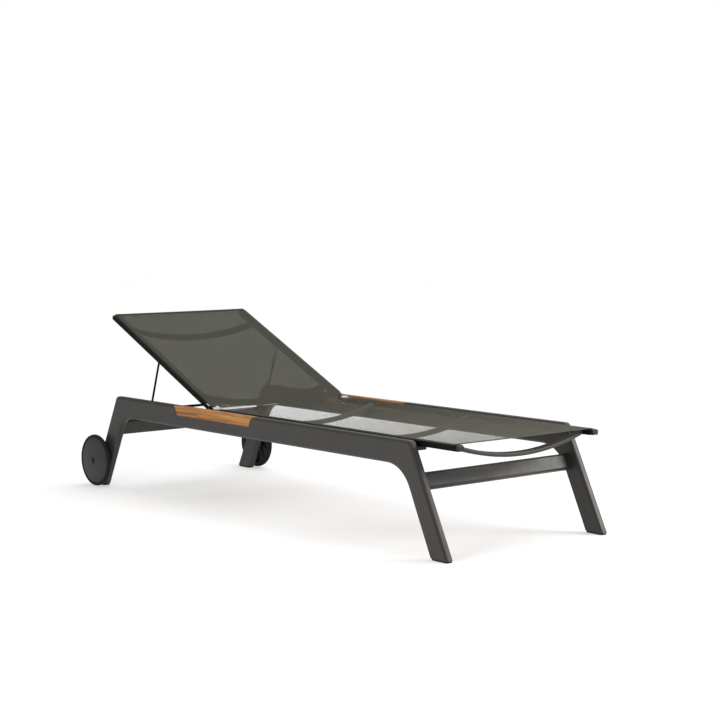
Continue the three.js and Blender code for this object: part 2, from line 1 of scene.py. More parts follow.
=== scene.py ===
"""Looks for the reclining sun lounger: slings, wheels, fittings, finishes, light and camera.

Everything is in metres in the lounger's own frame: +X towards the foot end, +Z up, and the
floor at z = 0.
"""

import json
import math

import bmesh
import bpy
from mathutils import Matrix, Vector


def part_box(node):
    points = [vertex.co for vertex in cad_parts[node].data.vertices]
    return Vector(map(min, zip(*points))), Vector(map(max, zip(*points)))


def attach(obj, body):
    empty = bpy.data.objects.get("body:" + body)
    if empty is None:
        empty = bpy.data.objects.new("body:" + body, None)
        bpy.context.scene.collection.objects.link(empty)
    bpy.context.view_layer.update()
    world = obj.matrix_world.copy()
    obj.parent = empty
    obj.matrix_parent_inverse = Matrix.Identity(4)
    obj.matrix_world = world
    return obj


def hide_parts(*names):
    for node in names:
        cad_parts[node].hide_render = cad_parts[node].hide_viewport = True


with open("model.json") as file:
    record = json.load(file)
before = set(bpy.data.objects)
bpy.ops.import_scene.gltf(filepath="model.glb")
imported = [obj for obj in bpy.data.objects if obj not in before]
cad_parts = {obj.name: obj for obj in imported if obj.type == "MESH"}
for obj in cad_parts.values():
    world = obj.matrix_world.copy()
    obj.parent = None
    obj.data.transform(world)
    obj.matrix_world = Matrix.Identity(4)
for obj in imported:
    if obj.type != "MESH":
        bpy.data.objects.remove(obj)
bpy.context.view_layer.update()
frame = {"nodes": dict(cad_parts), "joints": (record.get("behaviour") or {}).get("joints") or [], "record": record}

SIDES = (("r", -1), ("l", 1))
JOINTS = {joint["name"]: joint for joint in frame["joints"]}
PIVOT = Vector(JOINTS["back_recline"]["pos_m"])
RECLINE = -math.radians(JOINTS["back_recline"]["range_deg"][0])

# ---------- small helpers ----------


def turned(point, angle):
    """A point of the backrest turned about its hinge, upwards for a positive angle."""
    x, z = point[0] - PIVOT.x, point[2] - PIVOT.z
    c, s = math.cos(angle), math.sin(angle)
    return Vector((PIVOT.x + x * c + z * s, point[1], PIVOT.z - x * s + z * c))


def span_y(node):
    """How near the middle plane a node comes, and how far from it."""
    low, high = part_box(node)
    return sorted((abs(low.y), abs(high.y)))


def new_object(name, mesh, material):
    """A mesh object in the scene, smooth shaded, with one material."""
    made = bpy.data.objects.new(name, mesh)
    bpy.context.scene.collection.objects.link(made)
    mesh.materials.append(material)
    mesh.polygons.foreach_set("use_smooth", [True] * len(mesh.polygons))
    return made


def from_faces(name, vertices, faces, material):
    """An object from lists of points and faces, with its faces turned outwards."""
    mesh = bpy.data.meshes.new(name)
    mesh.from_pydata([tuple(v) for v in vertices], [], faces)
    tidy = bmesh.new()
    tidy.from_mesh(mesh)
    bmesh.ops.recalc_face_normals(tidy, faces=tidy.faces)
    tidy.to_mesh(mesh)
    tidy.free()
    return new_object(name, mesh, material)


def join_parts(name, parts, material):
    """One object from several (vertices, faces) lists."""
    vertices, faces = [], []
    for some_vertices, some_faces in parts:
        offset = len(vertices)
        vertices += some_vertices
        faces += [tuple(i + offset for i in face) for face in some_faces]
    return from_faces(name, vertices, faces, material)


def tube_faces(rings, sides, closed=False):
    """Faces of a tube whose points are listed ring by ring: capped, or closed into a loop."""
    faces = []
    for ring in range(rings if closed else rings - 1):
        a, b = ring * sides, (ring + 1) % rings * sides
        for k in range(sides):
            after = (k + 1) % sides
            faces.append((a + k, a + after, b + after, b + k))
    if not closed:
        faces.append(tuple(range(sides)))
        faces.append(tuple(range((rings - 1) * sides, rings * sides)))
    return faces


def lathed(profile, centre, steps):
    """Points and faces of a closed profile of (radius, y) turned about a line along Y."""
    vertices = []
    for radius, y in profile:
        for k in range(steps):
            angle = 2 * math.pi * k / steps
            x, z = radius * math.cos(angle), radius * math.sin(angle)
            vertices.append(Vector((centre.x + x, y, centre.z + z)))
    return vertices, tube_faces(len(profile), steps, closed=True)


# ---------- materials ----------


class Nodes:
    """A material's node tree, with short calls for the nodes used here."""

    def __init__(self, name):
        self.material = bpy.data.materials.new(name)
        self.material.use_nodes = True
        self.tree = self.material.node_tree
        self.shader = self.tree.nodes["Principled BSDF"]

    def node(self, kind, **settings):
        """A new node with some of its properties set."""
        made = self.tree.nodes.new(kind)
        for key, value in settings.items():
            setattr(made, key, value)
        return made

    def value(self, socket, value):
        """Sets a socket from a number, a vector, a colour or another node's output."""
        if isinstance(value, bpy.types.NodeSocket):
            self.tree.links.new(value, socket)
        elif hasattr(value, "__len__") and len(value) == 3 and socket.type == "RGBA":
            socket.default_value = (*value, 1)
        else:
            socket.default_value = value

    def wired(self, kind, inputs, **settings):
        """A new node with some of its inputs set or linked."""
        made = self.node(kind, **settings)
        for key, value in inputs.items():
            self.value(made.inputs[key], value)
        return made

    def maths(self, operation, a, b=0.0):
        """One operation on one or two numbers."""
        return self.wired("ShaderNodeMath", {0: a, 1: b}, operation=operation).outputs[0]

    def noise(self, vector, scale=1.0, detail=2.0, roughness=0.5):
        """Noise from 0 to 1."""
        inputs = {"Vector": vector, "Scale": scale, "Detail": detail, "Roughness": roughness}
        return self.wired("ShaderNodeTexNoise", inputs).outputs["Fac"]

    def stretched(self, vector, scale):
        """Coordinates scaled along each axis."""
        inputs = {"Vector": vector, "Scale": scale}
        return self.wired("ShaderNodeMapping", inputs).outputs["Vector"]

    def split(self, vector):
        """A vector's coordinates, by name."""
        return self.wired("ShaderNodeSeparateXYZ", {0: vector}).outputs

    def ramp(self, number, span, result=(0.0, 1.0)):
        """A number mapped from a span to a result, and held beyond the span's ends."""
        inputs = {"Value": number, "From Min": span[0], "From Max": span[1]}
        inputs.update({"To Min": result[0], "To Max": result[1]})
        return self.wired("ShaderNodeMapRange", inputs).outputs["Result"]

    def mix(self, factor, a, b):
        """A mix of two colours, which go into a Mix node's sockets 6 and 7."""
        inputs = {"Factor": factor, 6: a, 7: b}
        return self.wired("ShaderNodeMix", inputs, data_type="RGBA").outputs[2]

    def bump(self, height, strength, distance):
        """A normal bent by a height."""
        inputs = {"Height": height, "Strength": strength, "Distance": distance}
        return self.wired("ShaderNodeBump", inputs).outputs["Normal"]

    def place(self):
        """Coordinates in metres."""
        return self.node("ShaderNodeTexCoord").outputs["Object"]

    def set(self, **sockets):
        """Sets the shader's sockets, with _ for a space in a name."""
        for key, value in sockets.items():
            self.value(self.shader.inputs[key.replace("_", " ")], value)


def scaled(colour, factor):
    """A colour made darker or lighter."""
    return tuple(c * factor for c in colour)


def powder_coat(name, colour, roughness, specular):
    """Satin powder coat: orange peel, faint clouds in colour and gloss, paler edges that are partly wear and
    partly a painted highlight.
    """
    n = Nodes(name)
    place = n.place()
    cloud = n.noise(place, scale=9.0, detail=3.0, roughness=0.6)
    flecks = n.noise(place, scale=900.0, detail=1.0)
    gloss = n.noise(place, scale=30.0)
    orange_peel = n.noise(place, scale=420.0, roughness=0.55)
    pointiness = n.node("ShaderNodeNewGeometry").outputs["Pointiness"]
    base = n.mix(n.ramp(cloud, span=(0.3, 0.7)), scaled(colour, 0.95), scaled(colour, 1.06))
    fleck_share = n.ramp(flecks, span=(0.62, 0.78), result=(0.0, 0.35))
    base = n.mix(fleck_share, base, scaled(colour, 1.9))
    # paler edges: partly wear, partly a painted highlight along the rounded edges
    edge_highlight_and_wear_share = n.ramp(pointiness, span=(0.53, 0.6), result=(0.0, 0.28))
    base = n.mix(edge_highlight_and_wear_share, base, scaled(colour, 2.8))
    n.set(
        Base_Color=base,
        Roughness=n.ramp(gloss, span=(0.3, 0.7), result=(roughness - 0.03, roughness + 0.04)),
        Specular_IOR_Level=specular,
        Normal=n.bump(orange_peel, strength=0.12, distance=0.0004),
    )
    return n.material


def teak():
    """Oiled teak: growth lines, streaks, fibres and pores, with painted shade along its lower edge and on its
    inner face.
    """
    n = Nodes("teak_oiled")
    place = n.place()
    low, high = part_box("teak_inlay_r")
    lower_edge, inner_face = low.z, abs(high.y)

    warp = n.noise(n.stretched(place, (2.0, 12.0, 12.0)), scale=2.2)
    bend = {"Y": n.maths("MULTIPLY", warp, 0.10), "Z": n.maths("MULTIPLY", warp, 0.14)}
    shift = n.wired("ShaderNodeCombineXYZ", bend).outputs[0]
    grain = {0: n.stretched(place, (1.0, 9.0, 9.0)), 1: shift}
    grain = n.wired("ShaderNodeVectorMath", grain, operation="ADD").outputs[0]
    wave = {"Vector": grain, "Scale": 5.5, "Distortion": 0.9, "Detail": 2.5, "Detail Scale": 1.2}
    lines = n.wired("ShaderNodeTexWave", wave, bands_direction="Z", wave_profile="SAW")
    streaks = n.noise(n.stretched(place, (7.0, 150.0, 150.0)), roughness=0.55)
    broad = n.noise(n.stretched(place, (3.0, 14.0, 14.0)))
    fibres = n.noise(n.stretched(place, (14.0, 420.0, 420.0)), detail=3.0, roughness=0.6)
    pores = n.noise(n.stretched(place, (45.0, 900.0, 900.0)), detail=1.0)

    line_share = n.maths("MULTIPLY", lines.outputs["Fac"], 0.35)
    streak_share = n.maths("MULTIPLY", n.ramp(streaks, span=(0.38, 0.62)), 0.65)
    growth = n.maths("ADD", line_share, streak_share)
    base = n.mix(growth, (0.108, 0.032, 0.0066), (0.475, 0.226, 0.065))
    coordinates = n.split(place)
    depth = n.maths("ABSOLUTE", coordinates["Y"])
    # each tint: what it follows, over which span, how strong at the span's two ends, its colour; the last two are
    # painted shade
    tints = (
        (broad, (0.35, 0.7), (0.0, 0.55), (0.450, 0.233, 0.078)),
        (fibres, (0.42, 0.7), (0.0, 0.55), (0.15, 0.050, 0.0125)),
        (pores, (0.62, 0.72), (0.0, 0.6), (0.10, 0.036, 0.012)),
        # painted shade: darker towards the lower edge
        (coordinates["Z"], (lower_edge, lower_edge + 0.022), (0.5, 0.0), (0.12, 0.035, 0.009)),
        # painted shade: darker on the inner face, towards the bed
        (depth, (inner_face + 0.0005, inner_face + 0.004), (0.55, 0.0), (0.07, 0.024, 0.007)),
    )
    for number, span, strength, colour in tints:
        base = n.mix(n.ramp(number, span, strength), base, colour)
    pits = n.ramp(pores, span=(0.6, 0.75), result=(0.0, 0.8))
    n.set(
        Base_Color=base,
        Roughness=n.ramp(fibres, span=(0.3, 0.7), result=(0.48, 0.66)),
        Specular_IOR_Level=0.35,
        Normal=n.bump(n.maths("SUBTRACT", fibres, pits), strength=0.22, distance=0.0005),
    )
    return n.material


YARN_PITCH = 0.0016


def mesh_cloth(name, colour, openness, length):
    """Open mesh of coated yarns on a UV map in metres: U across the lounger and V along it.

    openness is the open share of the cloth at its hinge end and at its far end.
    """
    n = Nodes(name)
    uv = n.node("ShaderNodeUVMap", uv_map="cloth").outputs["UV"]
    across, along = n.split(uv)[:2]
    yarns = []
    for axis in (across, along):
        turn = n.maths("MULTIPLY", axis, math.pi / YARN_PITCH)
        yarns.append(n.maths("ABSOLUTE", n.maths("COSINE", turn)))
    # a yarn's cosine is under the threshold over the share of the pitch that stays open
    open_side = n.maths("POWER", n.ramp(along, (0.0, length), openness), 0.5)
    threshold = n.maths("SINE", n.maths("MULTIPLY", open_side, math.pi / 2))
    gaps = [n.ramp(n.maths("SUBTRACT", threshold, yarn), span=(-0.04, 0.04)) for yarn in yarns]
    hole = n.maths("MULTIPLY", *gaps)

    warp = n.noise(n.stretched(uv, (900.0, 60.0, 1.0)), detail=1.0)
    weft = n.noise(n.stretched(uv, (60.0, 900.0, 1.0)), detail=1.0)
    cloud = n.noise(uv, scale=5.0)
    dark, light = scaled(colour, 0.82), scaled(colour, 1.2)
    warmer = (colour[0] * 1.15, colour[1], colour[2] * 0.88)
    base = n.mix(n.ramp(warp, span=(0.3, 0.7)), dark, light)
    base = n.mix(n.ramp(weft, span=(0.35, 0.7), result=(0.0, 0.5)), base, light)
    base = n.mix(n.ramp(cloud, span=(0.35, 0.7), result=(0.0, 0.35)), base, warmer)
    n.set(
        Base_Color=base,
        Roughness=0.62,
        Specular_IOR_Level=0.12,
        Normal=n.bump(n.maths("MAXIMUM", *yarns), strength=0.25, distance=0.0004),
        Alpha=n.maths("SUBTRACT", 1.0, hole),
    )
    return n.material


def moulded_plastic(name, colour, grain):
    """Moulded plastic with a fine spark-eroded grain."""
    n = Nodes(name)
    place = n.place()
    fine = n.noise(place, scale=1400.0, detail=1.0)
    cloud = n.ramp(n.noise(place, scale=14.0), span=(0.3, 0.7))
    n.set(
        Base_Color=n.mix(cloud, scaled(colour, 0.88), scaled(colour, 1.15)),
        Roughness=n.ramp(fine, span=(0.35, 0.65), result=(0.49, 0.63)),
        Specular_IOR_Level=0.3,
        Normal=n.bump(fine, strength=grain, distance=0.0003),
    )
    return n.material


def rubber():
    """Tyre rubber: matt, finely grained and slightly dusty."""
    n = Nodes("tyre_rubber_look")
    place = n.place()
    dust = n.noise(place, scale=40.0, detail=4.0, roughness=0.7)
    fine = n.noise(place, scale=1100.0)
    dusty = n.ramp(dust, span=(0.45, 0.75), result=(0.0, 0.7))
    n.set(
        Base_Color=n.mix(dusty, (0.009, 0.009, 0.009), (0.022, 0.021, 0.019)),
        Roughness=n.ramp(dust, span=(0.3, 0.7), result=(0.72, 0.88)),
        Specular_IOR_Level=0.2,
        Normal=n.bump(fine, strength=0.15, distance=0.0004),
    )
    return n.material


def stainless(name, tone, roughness, shaded_flank=None):
    """Brushed steel with lines along X and duller patches; its last argument, if given, is a darker tone painted
    on its faces towards ±Y as shade.
    """
    n = Nodes(name)
    place = n.place()
    brushed = n.noise(n.stretched(place, (60.0, 2400.0, 2400.0)))
    dull = n.ramp(n.noise(place, scale=120.0), span=(0.3, 0.7))
    base = n.mix(dull, scaled((0.86, 0.855, 0.84), tone), scaled((1.14, 1.13, 1.11), tone))
    # painted shade: faces turned towards ±Y get a darker tone
    if shaded_flank:
        normal = n.node("ShaderNodeNewGeometry").outputs["True Normal"]
        shaded_sides = n.ramp(n.maths("ABSOLUTE", n.split(normal)["Y"]), span=(0.75, 0.95))
        base = n.mix(shaded_sides, base, n.mix(dull, (shaded_flank * 0.8,) * 3, (shaded_flank * 1.2,) * 3))
    n.set(
        Base_Color=base,
        Metallic=1.0,
        Roughness=n.ramp(brushed, span=(0.3, 0.7), result=(roughness - 0.07, roughness + 0.09)),
        Normal=n.bump(brushed, strength=0.12, distance=0.0002),
    )
    return n.material


def thread():
    """Polyester thread, lighter than the cloth, with a fine twist."""
    n = Nodes("hem_thread")
    twist = n.noise(n.place(), scale=2600.0, detail=1.0)
    twisted = n.ramp(twist, span=(0.3, 0.7))
    n.set(
        Base_Color=n.mix(twisted, (0.085, 0.082, 0.072), (0.14, 0.135, 0.12)),
        Roughness=0.55,
        Specular_IOR_Level=0.3,
        Normal=n.bump(twist, strength=0.3, distance=0.0002),
    )
    return n.material


FRAME_COAT = powder_coat("frame_coat", (0.0242, 0.0230, 0.0212), roughness=0.46, specular=0.36)
RAIL_COAT = powder_coat("rail_coat", (0.0038, 0.0037, 0.0035), roughness=0.55, specular=0.06)
STAY_COAT = powder_coat("stay_coat_look", (0.0045, 0.0045, 0.0043), roughness=0.5, specular=0.08)
TEAK = teak()
BLACK_PLASTIC = moulded_plastic("black_plastic", (0.01, 0.01, 0.01), grain=0.1)
WHEEL_PLASTIC = moulded_plastic("wheel_plastic_look", (0.0265, 0.0252, 0.0232), grain=0.16)
RUBBER = rubber()
STEEL = stainless("stainless_brushed", tone=0.62, roughness=0.28)
HINGE_STEEL = stainless("hinge_steel", tone=0.32, roughness=0.38, shaded_flank=0.03)
BLACK_STEEL = stainless("blackened_steel", tone=0.03, roughness=0.45)
THREAD = thread()

# ---------- finishes of the CAD pieces that stay ----------

FINISHES = {
    "powder_coat": FRAME_COAT,
    "dark_plastic": BLACK_PLASTIC,
    "teak": TEAK,
    "stainless": STEEL,
    "tyre_rubber": RUBBER,
    "wheel_plastic": WHEEL_PLASTIC,
    "stay_coat": STAY_COAT,
}
WELD_DISTANCE = 0.00002
FLAT_ANGLE = math.radians(0.6)
SHARP_ANGLE = math.radians(40)
FACE_WEIGHT = 60
EDGE_WIDTHS = (
    (0.0003, ("seat_rail", "back_rail")),
    (0.0004, ("side_frame", "hinge_fork", "hinge_tongue")),
    (0.0005, ("ratchet_rack",)),
    (0.0006, ("rail_ledge", "back_ledge", "hinge_bracket")),
    (0.0008, ("teak_inlay",)),
)


def finish_group():
    """Geometry nodes that weld a CAD mesh, drop its stored normals and shade it smooth."""
    group = bpy.data.node_groups.new("weld_and_smooth", "GeometryNodeTree")
    group.interface.new_socket("Geometry", in_out="INPUT", socket_type="NodeSocketGeometry")
    group.interface.new_socket("Geometry", in_out="OUTPUT", socket_type="NodeSocketGeometry")
    nodes, links = group.nodes, group.links
    start, end = nodes.new("NodeGroupInput"), nodes.new("NodeGroupOutput")
    drop = nodes.new("GeometryNodeRemoveAttribute")
    drop.inputs["Name"].default_value = "custom_normal"
    weld = nodes.new("GeometryNodeMergeByDistance")
    weld.inputs["Distance"].default_value = WELD_DISTANCE
    faces = nodes.new("GeometryNodeSetShadeSmooth")
    faces.domain = "FACE"
    faces.inputs["Shade Smooth"].default_value = True
    links.new(start.outputs[0], drop.inputs["Geometry"])
    links.new(drop.outputs["Geometry"], weld.inputs["Geometry"])
    links.new(weld.outputs["Geometry"], faces.inputs["Geometry"])
    links.new(faces.outputs["Geometry"], end.inputs[0])
    return group


WELD_GROUP = finish_group()


def look_of(node, slot):
    """A CAD piece's material: its slot's, except on the rails and the hinges."""
    if node.startswith(("seat_rail_", "back_rail_")) and "cap" not in node:
        return RAIL_COAT
    if node.startswith(("hinge_fork", "hinge_tongue", "hinge_pin")):
        return HINGE_STEEL
    return FINISHES[slot]


def finish_cad_node(node, material, edge_width):
    """Gives a CAD piece its material, and merges its flats and softens its edges by modifiers."""
    obj = frame["nodes"][node]
    for slot in obj.material_slots:
        slot.material = material
    if not obj.material_slots:
        obj.data.materials.append(material)
    weld = obj.modifiers.new("weld", "NODES")
    weld.node_group = WELD_GROUP
    flat = obj.modifiers.new("flat", "DECIMATE")
    flat.decimate_type = "DISSOLVE"
    flat.angle_limit = FLAT_ANGLE
    if edge_width:
        bevel = obj.modifiers.new("edges", "BEVEL")
        bevel.width = edge_width
        bevel.segments = 2
        bevel.limit_method = "ANGLE"
        bevel.angle_limit = SHARP_ANGLE
        bevel.use_clamp_overlap = True
        bevel.harden_normals = False
    weighted = obj.modifiers.new("weighted", "WEIGHTED_NORMAL")
    weighted.keep_sharp = False
    weighted.weight = FACE_WEIGHT


for row in frame["record"]["subparts"]:
    name = row["node"]
    if name in ("seat_sling", "back_sling"):
        continue
    edge_width = next((width for width, stems in EDGE_WIDTHS if name.startswith(stems)), 0.0)
    finish_cad_node(name, look_of(name, row["material_slot"]), edge_width)

# ---------- slings ----------

SEAT_COLOUR = (0.0800, 0.0770, 0.0560)
# the back's cloth is the seat's fabric, darkened here as painted shade
BACK_SHADED_COLOUR = (0.0310, 0.0306, 0.0184)
HEM_OPENNESS = (0.004, 0.004)
BEND_RADIUS = 0.0016  # where the cloth turns down into a rail's slot
BEND_DEPTH = 0.0006  # a strip of cloth lower than this belongs to the turned-down edge
AT_END = 0.001  # points of the CAD sling this near an end belong to it
SHOULDER_STEP = 0.002  # the cloth is this much wider than at its hinge end from the shoulder on
BEAD_DROP = 0.006  # points this far under the cloth belong to its beaded edges
END_SAG = 0.25  # share of the sag left at the ends
# steps from the middle to the hinge end's width, then to the bend, round it and down to the bead
COLUMN_STEPS = (36, 5, 4, 3)
# steps from the hinge end to the shoulder, then to the beads, and past them to the far end
ROW_STEPS = (2, 3, 3)
HEM_WIDTH = {"hinge": 0.005, "far": 0.014}
HEM_INSET = {"hinge": 0.0, "far": 0.0008}  # from the cloth's side edge
HEM_STEPS = 72
STITCH_ROWS = {"hinge": (0.0032,), "far": (0.0040, 0.0115)}
STITCH_LENGTH = 0.0032
STITCH_PITCH = 0.0044
STITCH_MARGIN = 0.006  # from the cloth's side edge to the first stitch
STITCH_SIDES = 5
STITCH_REACH, STITCH_HEIGHT = 0.00035, 0.0003
STITCH_LIFT = 0.0006


def sling_plan(points, place, sag):
    """What the CAD sling says about the cloth.

    points are (distance from the hinge axis, y, z) of the sling lying flat, and place puts
    such a point back where it belongs.
    """
    start, end = min(p[0] for p in points), max(p[0] for p in points)
    top, low = max(p[2] for p in points), min(p[2] for p in points)
    narrow = max(p[1] for p in points if p[0] < start + AT_END)
    edge = max(p[1] for p in points if p[0] > end - AT_END)
    bead_radius = max(p[1] for p in points) - edge
    beads = [p[0] for p in points if p[2] < top - BEAD_DROP]
    return {
        "place": place,
        "sag": sag,
        "start": start,
        "shoulder": min(p[0] for p in points if p[1] > narrow + SHOULDER_STEP),
        "bead_start": min(beads),
        "bead_end": max(beads),
        "end": end,
        "narrow": narrow,
        "flat": edge - BEND_RADIUS,
        "edge": edge,
        "top": top,
        "bead_middle": low + bead_radius,
    }


def sling_height(plan, distance, y):
    """The height of the cloth's top, which sags between the rails and less near its ends."""
    share = (distance - plan["start"]) / (plan["end"] - plan["start"])
    lengthwise = END_SAG + (1 - END_SAG) * math.sin(math.pi * min(1, max(0, share)))
    crosswise = max(0, 1 - (y / plan["flat"]) ** 2)
    return plan["top"] - plan["sag"] * lengthwise * crosswise


def sling_columns(plan):
    """Points across a sling as (y, drop at its edge, distance along the cloth), and its width."""
    narrow, flat, edge = plan["narrow"], plan["flat"], plan["edge"]
    inside, beside, bend, down = COLUMN_STEPS
    half = [(narrow * k / inside, 0.0) for k in range(inside + 1)]
    half += [(narrow + (flat - narrow) * k / beside, 0.0) for k in range(1, beside + 1)]
    for k in range(1, bend + 1):
        angle = math.pi / 2 * k / bend
        half.append((flat + BEND_RADIUS * math.sin(angle), BEND_RADIUS * (1 - math.cos(angle))))
    depth = plan["top"] - plan["bead_middle"]
    half += [(edge, BEND_RADIUS + (depth - BEND_RADIUS) * k / down) for k in range(1, down + 1)]
    section = [(-y, drop) for y, drop in reversed(half[1:])] + half
    along = [0.0]
    for a, b in zip(section, section[1:]):
        along.append(along[-1] + math.dist(a, b))
    width = along[-1]
    return [(y, drop, s - width / 2) for (y, drop), s in zip(section, along)], width


def sling_rows(plan, rows):
    """Distances from the hinge at which the cloth gets a row of points, rows of them by beads."""
    marks = [plan[key] for key in ("start", "shoulder", "bead_start", "bead_end", "end")]
    distances = [marks[0]]
    for a, b, count in zip(marks, marks[1:], (*ROW_STEPS[:2], rows, ROW_STEPS[2])):
        distances += [a + (b - a) * k / count for k in range(1, count + 1)]
    return distances


def sling(name, plan, rows, material):
    """A single sheet of cloth between the rails, on a UV map in metres."""
    made = bmesh.new()
    layer = made.loops.layers.uv.new("cloth")
    columns, _ = sling_columns(plan)
    distances = sling_rows(plan, rows)
    grid, uvs = {}, {}
    for r, distance in enumerate(distances):
        for c, (y, drop, along) in enumerate(columns):
            point = plan["place"](distance, y, sling_height(plan, distance, y) - drop)
            grid[r, c] = made.verts.new(point)
            uvs[grid[r, c]] = (along, distance - plan["start"])
    for r in range(len(distances) - 1):
        middle = (distances[r] + distances[r + 1]) / 2
        beside_hinge = middle < plan["shoulder"]
        beaded = plan["bead_start"] < middle < plan["bead_end"]
        for c in range(len(columns) - 1):
            y = abs(columns[c][0] + columns[c + 1][0]) / 2
            turned_down = (columns[c][1] + columns[c + 1][1]) / 2 > BEND_DEPTH
            if (beside_hinge and y > plan["narrow"]) or (turned_down and not beaded):
                continue
            corners = (grid[r, c], grid[r + 1, c], grid[r + 1, c + 1], grid[r, c + 1])
            for loop in made.faces.new(corners).loops:
                loop[layer].uv = uvs[loop.vert]
    bmesh.ops.delete(made, geom=[v for v in made.verts if not v.link_faces], context="VERTS")
    bmesh.ops.recalc_face_normals(made, faces=made.faces)
    if sum((f.normal for f in made.faces), Vector()).z < 0:
        bmesh.ops.reverse_faces(made, faces=made.faces)
    mesh = bpy.data.meshes.new(name)
    made.to_mesh(mesh)
    made.free()
    return new_object(name, mesh, material)


def end_of(plan, which):
    """A sling's end: its distance from the hinge, the way inwards and the cloth's half width."""
    if which == "hinge":
        return plan["start"], 1, plan["narrow"]
    return plan["end"], -1, plan["edge"]


def hem(name, plan, which, material):
    """The sling's folded end: a strip of doubled cloth round the sheet's edge."""
    end, inward, half = end_of(plan, which)
    half -= HEM_INSET[which]
    width = HEM_WIDTH[which]
    # the fold's section: (distance from the sling's end, height over the cloth)
    section = [(width, 0.0004), (0.0012, 0.00045), (0.0004, 0.0002)]
    section += [(0.0001, -0.0003), (0.0005, -0.0008), (width, -0.0007)]
    vertices, uvs = [], []
    for k in range(HEM_STEPS + 1):
        y = -half + 2 * half * k / HEM_STEPS
        for reach, lift in section:
            distance = end + inward * reach
            vertices.append(plan["place"](distance, y, sling_height(plan, distance, y) + lift))
            uvs.append((y, distance - plan["start"]))
    made = from_faces(name, vertices, tube_faces(HEM_STEPS + 1, len(section)), material)
    layer = made.data.uv_layers.new(name="cloth")
    for loop in made.data.loops:
        layer.data[loop.index].uv = uvs[loop.vertex_index]
    return made


def stitches(name, plan, which):
    """Rows of thread along a hem, each stitch a small spindle lying on the cloth."""
    end, inward, half = end_of(plan, which)
    half -= STITCH_MARGIN
    # a stitch's rings: (place along it from -1 to 1, thickness)
    spindle = ((-1, 0.3), (-0.7, 1.0), (0.7, 1.0), (1, 0.3))
    faces = tube_faces(len(spindle), STITCH_SIDES)
    parts = []
    for row in STITCH_ROWS[which]:
        distance = end + inward * row
        for k in range(int(2 * half / STITCH_PITCH)):
            middle = -half + STITCH_PITCH * (k + 0.5)
            vertices = []
            for offset, thickness in spindle:
                y = middle + offset * STITCH_LENGTH / 2
                height = sling_height(plan, distance, y) + STITCH_LIFT
                for side in range(STITCH_SIDES):
                    angle = 2 * math.pi * side / STITCH_SIDES
                    reach = STITCH_REACH * thickness * math.cos(angle)
                    lift = STITCH_HEIGHT * thickness * math.sin(angle)
                    vertices.append(plan["place"](distance + reach, y, height + lift))
            parts.append((vertices, faces))
    return join_parts(name, parts, THREAD)


def on_seat(distance, y, z):
    """Where a point of the seat's sling belongs."""
    return Vector((PIVOT.x + distance, y, z))


def off_seat(point):
    """A point of the seat's sling as (distance from the hinge axis, y, z)."""
    return point.x - PIVOT.x, point.y, point.z


def on_back(distance, y, z):
    """Where a point of the back's sling, lying flat, belongs."""
    return turned((PIVOT.x - distance, y, z), RECLINE)


def off_back(point):
    """A point of the back's sling as (distance from the hinge axis, y, z), lying flat."""
    flat = turned(point, -RECLINE)
    return PIVOT.x - flat.x, flat.y, flat.z


def make_sling(stem, body, place, flatten, colour, openness, sag, rows):
    """The cloth, its hems and their stitching."""
    node = f"{stem}_sling"
    points = [flatten(v.co) for v in frame["nodes"][node].data.vertices]
    plan = sling_plan(points, place, sag)
    length = plan["end"] - plan["start"]
    single = mesh_cloth(f"{stem}_cloth", colour, openness, length)
    cloth = sling(f"{stem}_cloth_sheet", plan, rows, single)
    doubled = mesh_cloth(f"{stem}_hem_cloth", scaled(colour, 0.95), HEM_OPENNESS, length)
    extras = []
    for which in ("hinge", "far"):
        extras.append(hem(f"{stem}_hem_{which}", plan, which, doubled))
        extras.append(stitches(f"{stem}_stitches_{which}", plan, which))
    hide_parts(node)
    for piece in (cloth, *extras):
        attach(piece, body)
    _, width = sling_columns(plan)


make_sling("seat", "frame", on_seat, off_seat, SEAT_COLOUR, (0.61, 0.24), sag=0.0030, rows=80)
make_sling("back", "backrest", on_back, off_back, BACK_SHADED_COLOUR, (0.034, 0.034), sag=0.0022, rows=48)

# ---------- wheels ----------

WHEEL_STEPS = 128
BORE = 0.0054
CROWN = 0.0092  # how far the disc's middle stands out past its rim
DOME_INSET = 0.0004  # the middle stands this far inside the CAD disc's outer face
WALL = 0.0038
COVER_RADIUS = 0.0115  # of the recess round the axle's cover
RIB_COUNT = 10
RIB_RADII = (0.0142, 0.030, 0.048, 0.066, 0.0815)
RIB_HALF_WIDTH = 0.0011
RIB_TOP, RIB_ROOT = 0.0075, 0.0030  # how far behind the disc's outer face a rib's edges lie
TYRE_DEPTH = 0.0090
GROOVE_DEPTH = 0.0009


def spaced(start, length, steps):
    """Evenly spaced numbers."""
    return [start + length * k / steps for k in range(steps + 1)]


